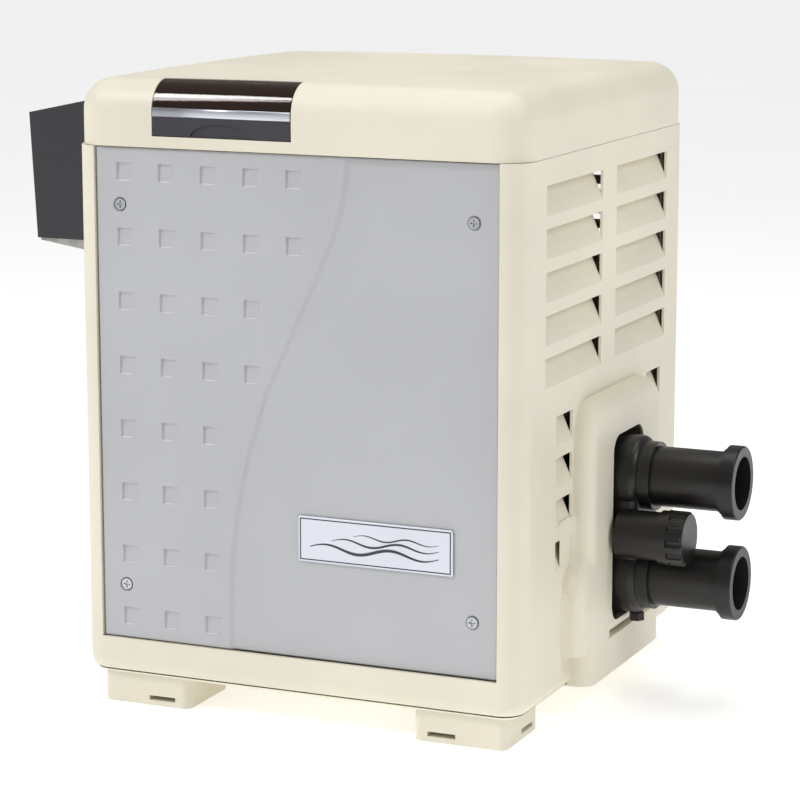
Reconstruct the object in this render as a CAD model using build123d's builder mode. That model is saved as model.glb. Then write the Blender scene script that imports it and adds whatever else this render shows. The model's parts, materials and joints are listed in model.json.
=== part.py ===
"""Gas-fired pool and spa heater: cabinet, controls, water manifold, burner and exhaust.

Millimetres. +X is the water side (right), +Y the back, +Z up.
The origin is on the floor, under the middle of the cabinet.
"""
from build123d import *
from math import cos, pi, sin
import os

# ---------------------------------------------------------------- driving sizes
WIDTH = 534.0  # cabinet, across the front
DEPTH = 534.0  # cabinet, front to back
HALF = WIDTH / 2
BASE_BOTTOM = 32.5  # under the skirt, on top of the feet
BASE_TOP = 78.5  # seam between base and panels
SEAM = 634.5  # top of the panels
LID_BOTTOM = SEAM + 0.5
LID_TOP = 711.0
CORNER_R = 30.0  # vertical edges of the cabinet
PANEL_T = 3.0

DOOR_HALF_W = 238.7
DOOR_GAP = 1.5
DOOR_FRONT = -HALF + 3.0
DOOR_T = 3.5
DOOR_LOW = BASE_TOP + 1.0
DOOR_HIGH = SEAM - 0.5

REACH = 424.4  # how far the water ports and the exhaust hood stand from the middle

PORT_Y = 10.0  # water ports, measured from the middle of the cabinet
PORT_LOW_Z = 143.0
PORT_HIGH_Z = 258.0
SOCKET_R = 30.2  # for 2 inch pipe
PASSAGE_R = 26.0

os.makedirs("parts", exist_ok=True)


# ---------------------------------------------------------------- small helpers
def save(piece, label):
    """Name a finished piece and write it as its own STEP file."""
    piece.part.label = label
    export_step(piece.part, f"parts/{label}.step")


def block(low, high, mode=Mode.ADD):
    """A box between two opposite corners."""
    with Locations(tuple((a + b) / 2 for a, b in zip(low, high))):
        Box(*(b - a for a, b in zip(low, high)), mode=mode)


def rod(start, axis, radius, length, mode=Mode.ADD):
    """A round bar that leaves a point along an axis."""
    with Locations(Plane(start, z_dir=axis)):
        Cylinder(radius, length, align=(Align.CENTER, Align.CENTER, Align.MIN), mode=mode)


def tube(start, axis, outer, inner, length):
    """A round pipe that leaves a point along an axis."""
    with BuildSketch(Plane(start, z_dir=axis)) as section:
        Circle(outer)
        Circle(inner, mode=Mode.SUBTRACT)
    extrude(section.sketch, amount=length)


def bent_pipe(corners, outer, inner, bend):
    """A pipe along straight runs joined by round bends."""
    with BuildLine() as route:
        FilletPolyline(*corners, radius=bend)
    with BuildSketch(Plane(route.line @ 0, z_dir=route.line % 0)) as section:
        Circle(outer)
        Circle(inner, mode=Mode.SUBTRACT)
    sweep(section.sketch, path=route.line)


def cap_screws(places, axis, head_r, head_h, shank_r, shank_l):
    """Cross-head screws whose heads stand on a face along an outward axis."""
    inward = tuple(-a for a in axis)
    for place in places:
        face = Plane(place, z_dir=axis)
        rod(place, axis, head_r, head_h)
        rod(place, inward, shank_r, shank_l)
        with BuildSketch(face.offset(head_h)) as cross:
            Rectangle(head_r * 1.3, head_r * 0.28)
            Rectangle(head_r * 0.28, head_r * 1.3)
        extrude(cross.sketch, amount=-head_h * 0.6, mode=Mode.SUBTRACT)


# ---------------------------------------------------------------- base
FOOT_IN = 138.0
FOOT_OUT = 246.0
FOOT_FRONT = 255.0
FOOT_BACK = 157.0
BASE_EDGE_R = 22.0
BASE_WALL = 5.0
BASE_FLOOR = BASE_BOTTOM + 6.0
BULGE_PROUD = 22.5
BULGE_FRONT = -110.0
BULGE_BACK = 130.0
SLOT_W = 33.0
SLOT_H = 5.5
SLOT_Z = 6.0
SLOT_DEEP = 30.0
FRONT_SLOT_X = 171.5
SIDE_SLOT_Y = 190.0

with BuildPart() as base_pan:
    with BuildSketch(Plane.XY.offset(BASE_BOTTOM)):
        RectangleRounded(WIDTH, DEPTH, CORNER_R)
    extrude(amount=BASE_TOP - BASE_BOTTOM)
    fillet(base_pan.faces().sort_by(Axis.Z)[0].edges(), BASE_EDGE_R)
    with BuildSketch(Plane.XY.offset(BASE_BOTTOM + 4)):
        with Locations((HALF + BULGE_PROUD - 30, (BULGE_FRONT + BULGE_BACK) / 2)):
            RectangleRounded(60, BULGE_BACK - BULGE_FRONT, 18)
    extrude(amount=BASE_TOP - BASE_BOTTOM - 4)
    # four feet, wider at the top than at the floor
    for side in (-1, 1):
        for end in (-1, 1):
            with BuildSketch(Plane.XY):
                with Locations((side * (FOOT_IN + FOOT_OUT) / 2, end * (FOOT_FRONT + FOOT_BACK) / 2)):
                    RectangleRounded(FOOT_OUT - FOOT_IN, FOOT_FRONT - FOOT_BACK, 9)
            extrude(amount=BASE_BOTTOM + 20)
    with BuildSketch(Plane.XY.offset(BASE_FLOOR)):
        RectangleRounded(WIDTH - 2 * BASE_WALL, DEPTH - 2 * BASE_WALL, CORNER_R - BASE_WALL)
    extrude(amount=BASE_TOP - BASE_FLOOR, mode=Mode.SUBTRACT)
    # anchor slots in the faces of the feet
    for side in (-1, 1):
        for end in (-1, 1):
            slot_x = side * FRONT_SLOT_X
            slot_y = sorted((end * FOOT_FRONT, end * (FOOT_FRONT - SLOT_DEEP)))
            block(
                (slot_x - SLOT_W / 2, slot_y[0], SLOT_Z),
                (slot_x + SLOT_W / 2, slot_y[1], SLOT_Z + SLOT_H),
                Mode.SUBTRACT,
            )
            slot_x = sorted((side * FOOT_OUT, side * (FOOT_OUT - SLOT_DEEP)))
            slot_y = end * SIDE_SLOT_Y
            block(
                (slot_x[0], slot_y - SLOT_W / 2, SLOT_Z),
                (slot_x[1], slot_y + SLOT_W / 2, SLOT_Z + SLOT_H),
                Mode.SUBTRACT,
            )
    # condensate drain holes in the floor
    for x, y in ((-210, -60), (-210, 120)):
        rod((x, y, BASE_BOTTOM - 1), (0, 0, 1), 8, 9, Mode.SUBTRACT)
save(base_pan, "base_pan")


# ---------------------------------------------------------------- side panels
LOUVER_H = 32.5
LOUVER_DEEP = 14.0
LOUVER_SKIN = 2.5
LOUVER_PITCH = 46.4
LONG_LOUVER = 174.0
SHORT_LOUVER = 50.0


def louver(side, y_low, length, top):
    """A scoop pressed into a side panel, flush at its foot and deep at its top, open at both ends."""
    foot = top - LOUVER_H
    face = HALF * side

    def point(deep, z):
        return (face - side * deep, z)

    block(
        (min(face, face - side * PANEL_T), y_low, foot),
        (max(face, face - side * PANEL_T), y_low + length, top),
        Mode.SUBTRACT,
    )
    with BuildSketch(Plane((0, y_low, 0), x_dir=(1, 0, 0), z_dir=(0, -1, 0))) as scoop:
        Polygon(
            point(0, foot - 1),
            point(0, foot),
            point(LOUVER_DEEP, top),
            point(PANEL_T / 2, top),
            point(PANEL_T / 2, top + LOUVER_SKIN),
            point(LOUVER_DEEP + LOUVER_SKIN, top + LOUVER_SKIN),
            point(LOUVER_DEEP + LOUVER_SKIN, top),
            point(PANEL_T, foot - 1),
            align=None,
        )
    extrude(scoop.sketch, amount=-length)


def louver_bank(side, y_low, length, tops):
    """One column of scoops."""
    for top in tops:
        louver(side, y_low, length, top)


def channel(side):
    """The plain folded panel: one side with its two rounded corners, from base to seam."""
    with BuildSketch(Plane.XY.offset(BASE_TOP)) as section:
        RectangleRounded(WIDTH, DEPTH, CORNER_R)
        RectangleRounded(WIDTH - 2 * PANEL_T, DEPTH - 2 * PANEL_T, CORNER_R - PANEL_T, mode=Mode.SUBTRACT)
        edge = DOOR_HALF_W + DOOR_GAP
        with Locations((side * (edge + HALF) / 2, 0)):
            Rectangle(HALF - edge, DEPTH, mode=Mode.INTERSECT)
    extrude(section.sketch, amount=SEAM - BASE_TOP)
    for end in (-1, 1):
        jamb_x = sorted((side * edge, side * (edge + PANEL_T)))
        jamb_y = sorted((end * (HALF - PANEL_T), end * (HALF - PANEL_T - 6)))
        block((jamb_x[0], jamb_y[0], BASE_TOP), (jamb_x[1], jamb_y[1], SEAM))


BULGE_TOP = 357.0
BULGE_SHOULDER_R = 44.0
LOBE_Y = -116.0
LOBE_R = 25.0
LOBE_TOP = 176.0
LOBE_PROUD = 17.0
MANIFOLD_GATE = (-40.5, 61.0, 94.5, 309.0)  # opening for the manifold: front, back, low, high


def bulge_form(skin):
    """The swelling round the manifold, with its smaller lobe at the front; skin takes it inward."""
    root = HALF - PANEL_T
    with BuildPart() as swell:
        with BuildSketch(Plane((root, 0, 0), x_dir=(0, 1, 0), z_dir=(1, 0, 0))) as outline:
            front = BULGE_FRONT + skin
            back = BULGE_BACK - skin
            top = BULGE_TOP - skin
            with Locations(((front + back) / 2, (BASE_TOP + top) / 2)):
                Rectangle(back - front, top - BASE_TOP)
            fillet(outline.vertices().group_by(Axis.Z)[-1], BULGE_SHOULDER_R - skin)
        extrude(amount=BULGE_PROUD + PANEL_T - skin)
        rim = swell.faces().sort_by(Axis.X)[-1].edges()
        fillet(rim.sort_by(Axis.Z)[1:], 17 - skin)
    with BuildPart() as lobe:
        with BuildSketch(Plane((root, 0, 0), x_dir=(0, 1, 0), z_dir=(1, 0, 0))):
            radius = LOBE_R - skin
            cap = LOBE_TOP - LOBE_R
            with Locations((LOBE_Y, cap)):
                Circle(radius)
            with Locations((LOBE_Y, (BASE_TOP + cap) / 2)):
                Rectangle(2 * radius, cap - BASE_TOP)
        extrude(amount=LOBE_PROUD + PANEL_T - skin)
        rim = lobe.faces().sort_by(Axis.X)[-1].edges()
        fillet(rim.sort_by(Axis.Z)[1:], 13 - skin)
    with BuildPart() as both:
        add(swell.part)
        add(lobe.part)
    return both.part


bulge_outer = bulge_form(0)
bulge_inner = bulge_form(PANEL_T)

UPPER_TOPS = [606.3 - row * LOUVER_PITCH for row in range(5)]
LOWER_TOPS = [352.2 - row * 46.5 for row in range(4)]

with BuildPart() as right_side_panel:
    channel(1)
    add(bulge_outer)
    add(bulge_inner, mode=Mode.SUBTRACT)
    gate_front, gate_back, gate_low, gate_high = MANIFOLD_GATE
    with BuildSketch(Plane((HALF - 10, 0, 0), x_dir=(0, 1, 0), z_dir=(1, 0, 0))) as gate:
        with Locations(((gate_front + gate_back) / 2, (gate_low + gate_high) / 2)):
            RectangleRounded(gate_back - gate_front, gate_high - gate_low, 20)
    extrude(amount=60, mode=Mode.SUBTRACT)
    louver_bank(1, -199, LONG_LOUVER, UPPER_TOPS)
    louver_bank(1, 21, LONG_LOUVER, UPPER_TOPS)
    louver_bank(1, -164, SHORT_LOUVER, LOWER_TOPS)
    louver_bank(1, 132, SHORT_LOUVER, LOWER_TOPS)
save(right_side_panel, "right_side_panel")

FLUE_Y = 0.0
FLUE_Z = 575.0
FLUE_R = 38.0
GAS_Y = -185.0
GAS_Z = 215.0
CONDUIT_Y = -195.0
CONDUIT_Z = 120.0

with BuildPart() as left_side_panel:
    channel(-1)
    louver_bank(-1, -150, LONG_LOUVER - 49, LOWER_TOPS)
    louver_bank(-1, 21, LONG_LOUVER, LOWER_TOPS)
    rod((-HALF - 5, FLUE_Y, FLUE_Z), (1, 0, 0), FLUE_R + 0.5, 20, Mode.SUBTRACT)
    rod((-HALF - 5, GAS_Y, GAS_Z), (1, 0, 0), 20, 20, Mode.SUBTRACT)
    rod((-HALF - 5, CONDUIT_Y, CONDUIT_Z), (1, 0, 0), 14, 20, Mode.SUBTRACT)
save(left_side_panel, "left_side_panel")

with BuildPart() as rear_panel:
    block((-DOOR_HALF_W, HALF - PANEL_T, DOOR_LOW), (DOOR_HALF_W, HALF, DOOR_HIGH))
    for side in (-1, 1):
        rim_x = sorted((side * DOOR_HALF_W, side * (DOOR_HALF_W - PANEL_T)))
        block((rim_x[0], HALF - 14, DOOR_LOW), (rim_x[1], HALF - PANEL_T, DOOR_HIGH))
    for row in range(6):
        for column in (-120, 0, 120):
            with BuildSketch(Plane((column, HALF, 480 + row * 18), x_dir=(1, 0, 0), z_dir=(0, 1, 0))):
                SlotOverall(90, 7)
            extrude(amount=-PANEL_T, mode=Mode.SUBTRACT)
save(rear_panel, "rear_panel")

FRAME_Y = DOOR_FRONT + DOOR_T + 4.0
FRAME_T = 2.0
SCREW_X = 210.0
SCREW_LOW = 141.0
SCREW_HIGH = 571.0
DOOR_SCREW_PLACES = [(side * SCREW_X, z) for side in (-1, 1) for z in (SCREW_LOW, SCREW_HIGH)]

with BuildPart() as front_frame:
    block((-240, FRAME_Y, BASE_FLOOR), (240, FRAME_Y + FRAME_T, SEAM))
    block((-185, FRAME_Y, 105), (185, FRAME_Y + FRAME_T, 600), Mode.SUBTRACT)
    for side in (-1, 1):
        rib_x = sorted((side * 185, side * 187))
        block((rib_x[0], FRAME_Y, 105), (rib_x[1], FRAME_Y + 16, 600))
    for x, z in DOOR_SCREW_PLACES:
        rod((x, FRAME_Y - 1, z), (0, 1, 0), 3.2, 10, Mode.SUBTRACT)
save(front_frame, "front_frame")


# ---------------------------------------------------------------- service door
STEP_DEEP = 1.5
DIMPLE = 19.5
DIMPLE_DEEP = 1.6
DIMPLE_PITCH_X = 51.5
DIMPLE_PITCH_Z = 71.8
DIMPLE_LEFT = -203.0
DIMPLE_TOP = BASE_TOP + 529.0
DIMPLES_PER_ROW = (5, 5, 4, 4, 3, 3, 3, 3)
CUP_R = 7.5

front_plane = Plane((0, DOOR_FRONT, 0), x_dir=(1, 0, 0), z_dir=(0, -1, 0))

with BuildPart() as service_door:
    block((-DOOR_HALF_W, DOOR_FRONT, DOOR_LOW), (DOOR_HALF_W, DOOR_FRONT + DOOR_T, DOOR_HIGH))
    # the right part sits a little lower, behind an S-shaped step
    with BuildSketch(front_plane):
        with BuildLine():
            Spline(
                (67, SEAM + 5),
                (34, BASE_TOP + 436),
                (-34, BASE_TOP + 292),
                (-67, BASE_TOP + 170),
                (-79, BASE_TOP - 5),
                tangents=((0, -1), (0, -1)),
            )
            Polyline((-79, BASE_TOP - 5), (250, BASE_TOP - 5), (250, SEAM + 5), (67, SEAM + 5))
        make_face()
    extrude(amount=-STEP_DEEP, mode=Mode.SUBTRACT)
    # wedge-shaped dimples, deepest at their upper left corner
    lean = DIMPLE_DEEP / 2 / DIMPLE
    for row, count in enumerate(DIMPLES_PER_ROW):
        for column in range(count):
            centre = (
                DIMPLE_LEFT + column * DIMPLE_PITCH_X,
                DOOR_FRONT + DIMPLE_DEEP / 2,
                DIMPLE_TOP - row * DIMPLE_PITCH_Z,
            )
            with BuildSketch(Plane(centre, x_dir=(1, -lean, 0), z_dir=(-lean, -1, lean))):
                Rectangle(DIMPLE, DIMPLE)
            extrude(amount=DIMPLE_DEEP, mode=Mode.SUBTRACT)
    # cups for the screws
    for x, z in DOOR_SCREW_PLACES:
        rod((x, DOOR_FRONT, z), (0, 1, 0), CUP_R + 1.5, DOOR_T + 3)
        rod((x, DOOR_FRONT, z), (0, 1, 0), CUP_R, DOOR_T + 1, Mode.SUBTRACT)
        rod((x, DOOR_FRONT, z), (0, 1, 0), 2.6, DOOR_T + 4, Mode.SUBTRACT)
    # stiffening ribs folded back at the edges
    for side in (-1, 1):
        rib_x = sorted((side * DOOR_HALF_W, side * (DOOR_HALF_W - 2)))
        block((rib_x[0], DOOR_FRONT + DOOR_T, DOOR_LOW), (rib_x[1], DOOR_FRONT + DOOR_T + 3, DOOR_HIGH))
save(service_door, "service_door")

with BuildPart() as door_screws:
    head_y = DOOR_FRONT + DOOR_T + 1
    cap_screws([(x, head_y, z) for x, z in DOOR_SCREW_PLACES], (0, -1, 0), 6.2, 3.2, 2.6, 12)
save(door_screws, "door_screws")

with BuildPart() as nameplate:
    with BuildSketch(front_plane.offset(-STEP_DEEP)), Locations((96.5, BASE_TOP + 136.5)):
        RectangleRounded(183, 51, 2)
    extrude(amount=1.4)
    chamfer(nameplate.faces().sort_by(Axis.Y)[0].edges(), 0.5)
save(nameplate, "nameplate")


# ---------------------------------------------------------------- lid
LID_WALL = 5.0
LID_EDGE_R = 35.0
LID_CORNER_R = 38.0
CROWN_R = 16000.0


def lid_form(skin):
    """The closed form of the lid, taken inward by a skin."""
    with BuildPart() as form:
        with BuildSketch(Plane.XY.offset(LID_BOTTOM)):
            RectangleRounded(WIDTH - 2 * skin, DEPTH - 2 * skin, LID_CORNER_R - skin)
        extrude(amount=LID_TOP - skin - LID_BOTTOM)
        with Locations((0, 0, LID_TOP - skin - CROWN_R)):
            Sphere(CROWN_R, mode=Mode.INTERSECT)
        fillet(form.faces().sort_by(Axis.Z)[-1].edges(), LID_EDGE_R - skin)
    return form.part


lid_outer = lid_form(0)
lid_inner = lid_form(LID_WALL)

FLAP_LEFT = -166.0
FLAP_RIGHT = 0.0
FLAP_LOW = 648.5
HINGE_Y = -236.6
HINGE_Z = 705.6
BARREL_R = 2.6
HINGE_RELIEF = 4.0  # lets the open flap stand upright behind its barrel
PIN_R = 1.2
FLAP_GAP = 1.0
LID_SCREW_Y = 205.0
LID_SCREW_Z = LID_BOTTOM + 9.0
LID_SCREW_R = 2.0

with BuildPart() as lid:
    add(lid_outer)
    add(lid_inner, mode=Mode.SUBTRACT)
    # bore in the skin for the hinge pin, then the mouth for the window flap
    rod((FLAP_LEFT - 9, HINGE_Y, HINGE_Z), (1, 0, 0), PIN_R, FLAP_RIGHT - FLAP_LEFT + 18, Mode.SUBTRACT)
    block(
        (FLAP_LEFT - FLAP_GAP, -HALF - 1, FLAP_LOW - FLAP_GAP),
        (FLAP_RIGHT + FLAP_GAP, HINGE_Y + HINGE_RELIEF, LID_TOP + 5),
        Mode.SUBTRACT,
    )
    for y in (-LID_SCREW_Y, LID_SCREW_Y):
        rod((-HALF - 1, y, LID_SCREW_Z), (1, 0, 0), LID_SCREW_R, LID_WALL + 3, Mode.SUBTRACT)
save(lid, "lid")

with BuildPart() as lid_screws:
    lid_screw_places = [(-HALF, y, LID_SCREW_Z) for y in (-LID_SCREW_Y, LID_SCREW_Y)]
    cap_screws(lid_screw_places, (-1, 0, 0), 5.0, 2.2, LID_SCREW_R, LID_WALL)
save(lid_screws, "lid_screws")

with BuildPart() as flap_shell:
    add(lid_outer)
    add(lid_inner, mode=Mode.SUBTRACT)
    block((FLAP_LEFT, -HALF - 1, FLAP_LOW), (FLAP_RIGHT, HINGE_Y, LID_TOP + 5), Mode.INTERSECT)

TRIM_Z = BASE_TOP + 592.0  # where the dark lower strip gives way to the window

with BuildPart() as window_flap:
    add(flap_shell.part)
    block((FLAP_LEFT - 1, -HALF - 2, TRIM_Z), (FLAP_RIGHT + 1, HINGE_Y + 9, LID_TOP + 6), Mode.INTERSECT)
    rod((FLAP_LEFT, HINGE_Y, HINGE_Z), (1, 0, 0), BARREL_R, FLAP_RIGHT - FLAP_LEFT)
    rod((FLAP_LEFT, HINGE_Y, HINGE_Z), (1, 0, 0), PIN_R + 0.08, FLAP_RIGHT - FLAP_LEFT, Mode.SUBTRACT)
save(window_flap, "window_flap")

with BuildPart() as flap_grip:
    add(flap_shell.part)
    block((FLAP_LEFT - 1, -HALF - 2, FLAP_LOW - 1), (FLAP_RIGHT + 1, HINGE_Y + 9, TRIM_Z), Mode.INTERSECT)
    # half-moon finger recess
    with BuildSketch(Plane((-84.5, -HALF, BASE_TOP + 570), x_dir=(1, 0, 0), z_dir=(0, -1, 0))):
        Ellipse(35.5, 14.5)
    extrude(amount=-2.2, mode=Mode.SUBTRACT)
save(flap_grip, "flap_grip")

with BuildPart() as flap_hinge_pin:
    rod((FLAP_LEFT - 8, HINGE_Y, HINGE_Z), (1, 0, 0), PIN_R, FLAP_RIGHT - FLAP_LEFT + 16)
save(flap_hinge_pin, "flap_hinge_pin")

# control panel: a leaning plate under the flap, x along the plate, y up the lean
CONTROL_X = (FLAP_LEFT + FLAP_RIGHT) / 2
control_plane = Plane((CONTROL_X, -247.5, 673.0), x_dir=(1, 0, 0), z_dir=(0, -12, 5))
BEZEL_W = 178.0
BEZEL_H = 52.0
BEZEL_T = 2.5
DISPLAY_W = 66.0
DISPLAY_H = 17.0
DISPLAY_UP = 10.5
BUTTON_UP = -11.0
BUTTON_R = 5.2
BUTTON_TRAVEL = 1.2
BUTTON_NAMES = ("pool_button", "spa_button", "off_button", "temp_down_button", "temp_up_button")
BUTTON_ACROSS = (-60.0, -35.0, -10.0, 22.0, 47.0)

with BuildPart() as control_bezel:
    with BuildSketch(control_plane):
        RectangleRounded(BEZEL_W, BEZEL_H, 3)
        with Locations((0, DISPLAY_UP)):
            Rectangle(DISPLAY_W, DISPLAY_H, mode=Mode.SUBTRACT)
        with Locations(*((x, BUTTON_UP) for x in BUTTON_ACROSS)):
            Circle(BUTTON_R + 0.35, mode=Mode.SUBTRACT)
        with Locations(*((x, DISPLAY_UP) for x in (-70, -60, -50, 50, 60, 70))):
            Circle(1.6, mode=Mode.SUBTRACT)
    extrude(amount=-BEZEL_T)
    # brackets up to the skin of the lid
    for x in (FLAP_LEFT - FLAP_GAP - 6, FLAP_RIGHT + FLAP_GAP):
        block((x, -240, HINGE_Z - 14), (x + 6, -226, HINGE_Z - 3))
save(control_bezel, "control_bezel")

with BuildPart() as display:
    with BuildSketch(control_plane.offset(-BEZEL_T)):
        with Locations((0, DISPLAY_UP)):
            Rectangle(DISPLAY_W, DISPLAY_H)
    extrude(amount=BEZEL_T - 0.6)
    with BuildSketch(control_plane.offset(-BEZEL_T - 4.0)):
        with Locations((0, DISPLAY_UP)):
            Rectangle(DISPLAY_W + 8, DISPLAY_H + 6)
    extrude(amount=4.0)
save(display, "display")

with BuildPart() as status_leds:
    for x in (-70, -60, -50, 50, 60, 70):
        with BuildSketch(control_plane.offset(-BEZEL_T - 4.0)):
            with Locations((x, DISPLAY_UP)):
                Circle(1.6)
        extrude(amount=BEZEL_T + 4.6)
save(status_leds, "status_leds")

with BuildPart() as control_board:
    with BuildSketch(control_plane.offset(-BEZEL_T - 4.0)):
        Rectangle(BEZEL_W - 24, BEZEL_H - 6)
    extrude(amount=-1.6)
    for x in (-72, 72):
        with BuildSketch(control_plane.offset(-BEZEL_T)):
            with Locations((x, -19)):
                Circle(2.5)
        extrude(amount=-4.0)
save(control_board, "control_board")

for name, across in zip(BUTTON_NAMES, BUTTON_ACROSS):
    with BuildPart() as button:
        with BuildSketch(control_plane.offset(-BEZEL_T - 0.3)):
            with Locations((across, BUTTON_UP)):
                Circle(BUTTON_R)
        extrude(amount=BEZEL_T + 0.3 + 2.0)
        fillet(button.edges().group_by(Axis.Y)[0], 0.9)
        with BuildSketch(control_plane.offset(-BEZEL_T - 0.3)):
            with Locations((across, BUTTON_UP)):
                Circle(BUTTON_R + 1.3)
        extrude(amount=-0.9)
        with BuildSketch(control_plane.offset(-BEZEL_T - 1.2)):
            with Locations((across, BUTTON_UP)):
                Circle(2.0)
        extrude(amount=-1.2)
    save(button, name)


# ---------------------------------------------------------------- exhaust hood, on the left
HOOD_HALF_Y = 94.5
HOOD_T = 2.0
HOOD_TOP_OUT = 651.0
HOOD_TOP_IN = 684.0
HOOD_LOW = 503.0
PAN_LOW = 478.5
HOOD_LEAN = 8.0
LID_CLEAR = 0.8
HOOD_SCREW_HEIGHTS = (HOOD_LOW + 12, SEAM - 20)

hood_front = Plane((0, -HOOD_HALF_Y, 0), x_dir=(1, 0, 0), z_dir=(0, -1, 0))


def hood_profile(skin):
    """The side view of the hood, taken inward by a skin."""
    out_top = -REACH + skin
    out_low = -REACH + HOOD_LEAN + skin
    Polygon(
        (-HALF, HOOD_LOW),
        (out_low, HOOD_LOW),
        (out_top, HOOD_TOP_OUT - skin),
        (-HALF, HOOD_TOP_IN - skin),
        align=None,
    )


with BuildPart() as exhaust_hood:
    with BuildSketch(hood_front):
        hood_profile(0)
    extrude(amount=-2 * HOOD_HALF_Y)
    with BuildSketch(hood_front.offset(-HOOD_T)):
        hood_profile(HOOD_T)
    extrude(amount=-2 * (HOOD_HALF_Y - HOOD_T), mode=Mode.SUBTRACT)
    # outer wall: one framed opening for the grille
    block(
        (-REACH - 5, -HOOD_HALF_Y + 16, HOOD_LOW + 16),
        (-REACH + 14, HOOD_HALF_Y - 16, HOOD_TOP_OUT - 16),
        Mode.SUBTRACT,
    )
    # the hood stands just clear of the lid above the seam
    block(
        (-HALF - LID_CLEAR, -HOOD_HALF_Y - 1, SEAM),
        (-HALF + 1, HOOD_HALF_Y + 1, HOOD_TOP_IN + 1),
        Mode.SUBTRACT,
    )
    # flanges against the side panel
    for side in (-1, 1):
        flange_y = sorted((side * HOOD_HALF_Y, side * (HOOD_HALF_Y + 14)))
        block((-HALF - HOOD_T, flange_y[0], HOOD_LOW), (-HALF, flange_y[1], SEAM - 6))
        for z in HOOD_SCREW_HEIGHTS:
            rod((-HALF - HOOD_T, side * (HOOD_HALF_Y + 8), z), (1, 0, 0), 1.8, HOOD_T, Mode.SUBTRACT)
save(exhaust_hood, "exhaust_hood")

with BuildPart() as exhaust_grille:
    slat_count = 9
    grille_low = HOOD_LOW + 16.0
    grille_high = HOOD_TOP_OUT - 16.0
    slat_pitch = (grille_high - grille_low) / slat_count

    def hood_wall_x(z):
        """Inner face of the leaning outer wall at a height."""
        return -REACH + HOOD_T + HOOD_LEAN * (HOOD_TOP_OUT - z) / (HOOD_TOP_OUT - HOOD_LOW)

    for side in (-1, 1):
        rail_y = sorted((side * (HOOD_HALF_Y - 16), side * (HOOD_HALF_Y - 12)))
        with BuildSketch(Plane((0, rail_y[0], 0), x_dir=(1, 0, 0), z_dir=(0, -1, 0))):
            Polygon(
                (hood_wall_x(grille_low - 4) + 0.1, grille_low - 4),
                (hood_wall_x(grille_low - 4) + 12, grille_low - 4),
                (hood_wall_x(grille_high + 4) + 12, grille_high + 4),
                (hood_wall_x(grille_high + 4) + 0.1, grille_high + 4),
                align=None,
            )
        extrude(amount=-(rail_y[1] - rail_y[0]))
    for slat in range(slat_count):
        z = grille_low + (slat + 0.5) * slat_pitch
        x = hood_wall_x(z) + 1.0
        with BuildSketch(Plane((0, -HOOD_HALF_Y + 16, 0), x_dir=(1, 0, 0), z_dir=(0, -1, 0))):
            Polygon((x, z - 5), (x + 1.4, z - 5), (x + 10, z + 4), (x + 8.6, z + 4), align=None)
        extrude(amount=-2 * (HOOD_HALF_Y - 16))
save(exhaust_grille, "exhaust_grille")

with BuildPart() as exhaust_bottom_pan:
    pan_half = HOOD_HALF_Y - HOOD_T - 0.5
    pan_out = -REACH + HOOD_LEAN + HOOD_T + 1
    with BuildSketch(Plane((0, -pan_half, 0), x_dir=(1, 0, 0), z_dir=(0, -1, 0))):
        Polygon(
            (-HALF, HOOD_LOW + 3),
            (-HALF, PAN_LOW),
            (pan_out, HOOD_LOW - 3),
            (pan_out, HOOD_LOW + 3),
            align=None,
        )
    extrude(amount=-2 * pan_half)
    with BuildSketch(Plane((0, -pan_half + 1.5, 0), x_dir=(1, 0, 0), z_dir=(0, -1, 0))):
        Polygon(
            (-HALF, HOOD_LOW + 4),
            (-HALF, PAN_LOW + 1.5),
            (pan_out + 1.5, HOOD_LOW - 1.5),
            (pan_out + 1.5, HOOD_LOW + 4),
            align=None,
        )
    extrude(amount=-2 * (pan_half - 1.5), mode=Mode.SUBTRACT)
save(exhaust_bottom_pan, "exhaust_bottom_pan")

with BuildPart() as hood_screws:
    hood_places = [
        (-HALF - HOOD_T, side * (HOOD_HALF_Y + 8), z) for side in (-1, 1) for z in HOOD_SCREW_HEIGHTS
    ]
    cap_screws(hood_places, (-1, 0, 0), 4.2, 2.4, 1.8, HOOD_T)
save(hood_screws, "hood_screws")


# ---------------------------------------------------------------- water manifold, on the right
SHEET_X = 205.0
SHEET_T = 8.0
GASKET_T = 2.0
FLANGE_X = SHEET_X + SHEET_T + GASKET_T
FLANGE_T = 10.0
BODY_OUT = 313.0
RING_OUT = 326.0
STUB_R = 34.0
BELL_R = 42.0
BELL_X = 408.5
SOCKET_DEEP = 48.0
FLANGE_BOX = (PORT_Y - 58.0, PORT_Y + 58.0, 86.0, 318.0)
GOVERNOR_Y = -29.0
GOVERNOR_Z = 197.5
GOVERNOR_R = 27.5
GOVERNOR_BORE_R = 20.0
GOVERNOR_END = 352.0
BYPASS_X = 268.0
DRAIN_X = 302.0
BYPASS_R = 15.0
SPRING_TOP = 226.0
PORTS = (PORT_LOW_Z, PORT_HIGH_Z)
BOLT_PLACES = [(y, z) for y in (PORT_Y - 50, PORT_Y + 50) for z in (95, 170, 235, 309)]


def flange_outline():
    """The flat flange that bolts to the tube sheet."""
    front, back, low, high = FLANGE_BOX
    with Locations(((front + back) / 2, (low + high) / 2)):
        RectangleRounded(back - front, high - low, 12)


def across_x(x):
    """A sketch plane that looks along +X, with Y to the right and Z up."""
    return Plane((x, 0, 0), x_dir=(0, 1, 0), z_dir=(1, 0, 0))


with BuildPart() as tube_sheet:
    with BuildSketch(across_x(SHEET_X)):
        flange_outline()
        with Locations(*((PORT_Y, z) for z in PORTS)):
            Circle(16, mode=Mode.SUBTRACT)
        with Locations(*BOLT_PLACES):
            Circle(3.0, mode=Mode.SUBTRACT)
    extrude(amount=SHEET_T)
save(tube_sheet, "tube_sheet")

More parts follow.
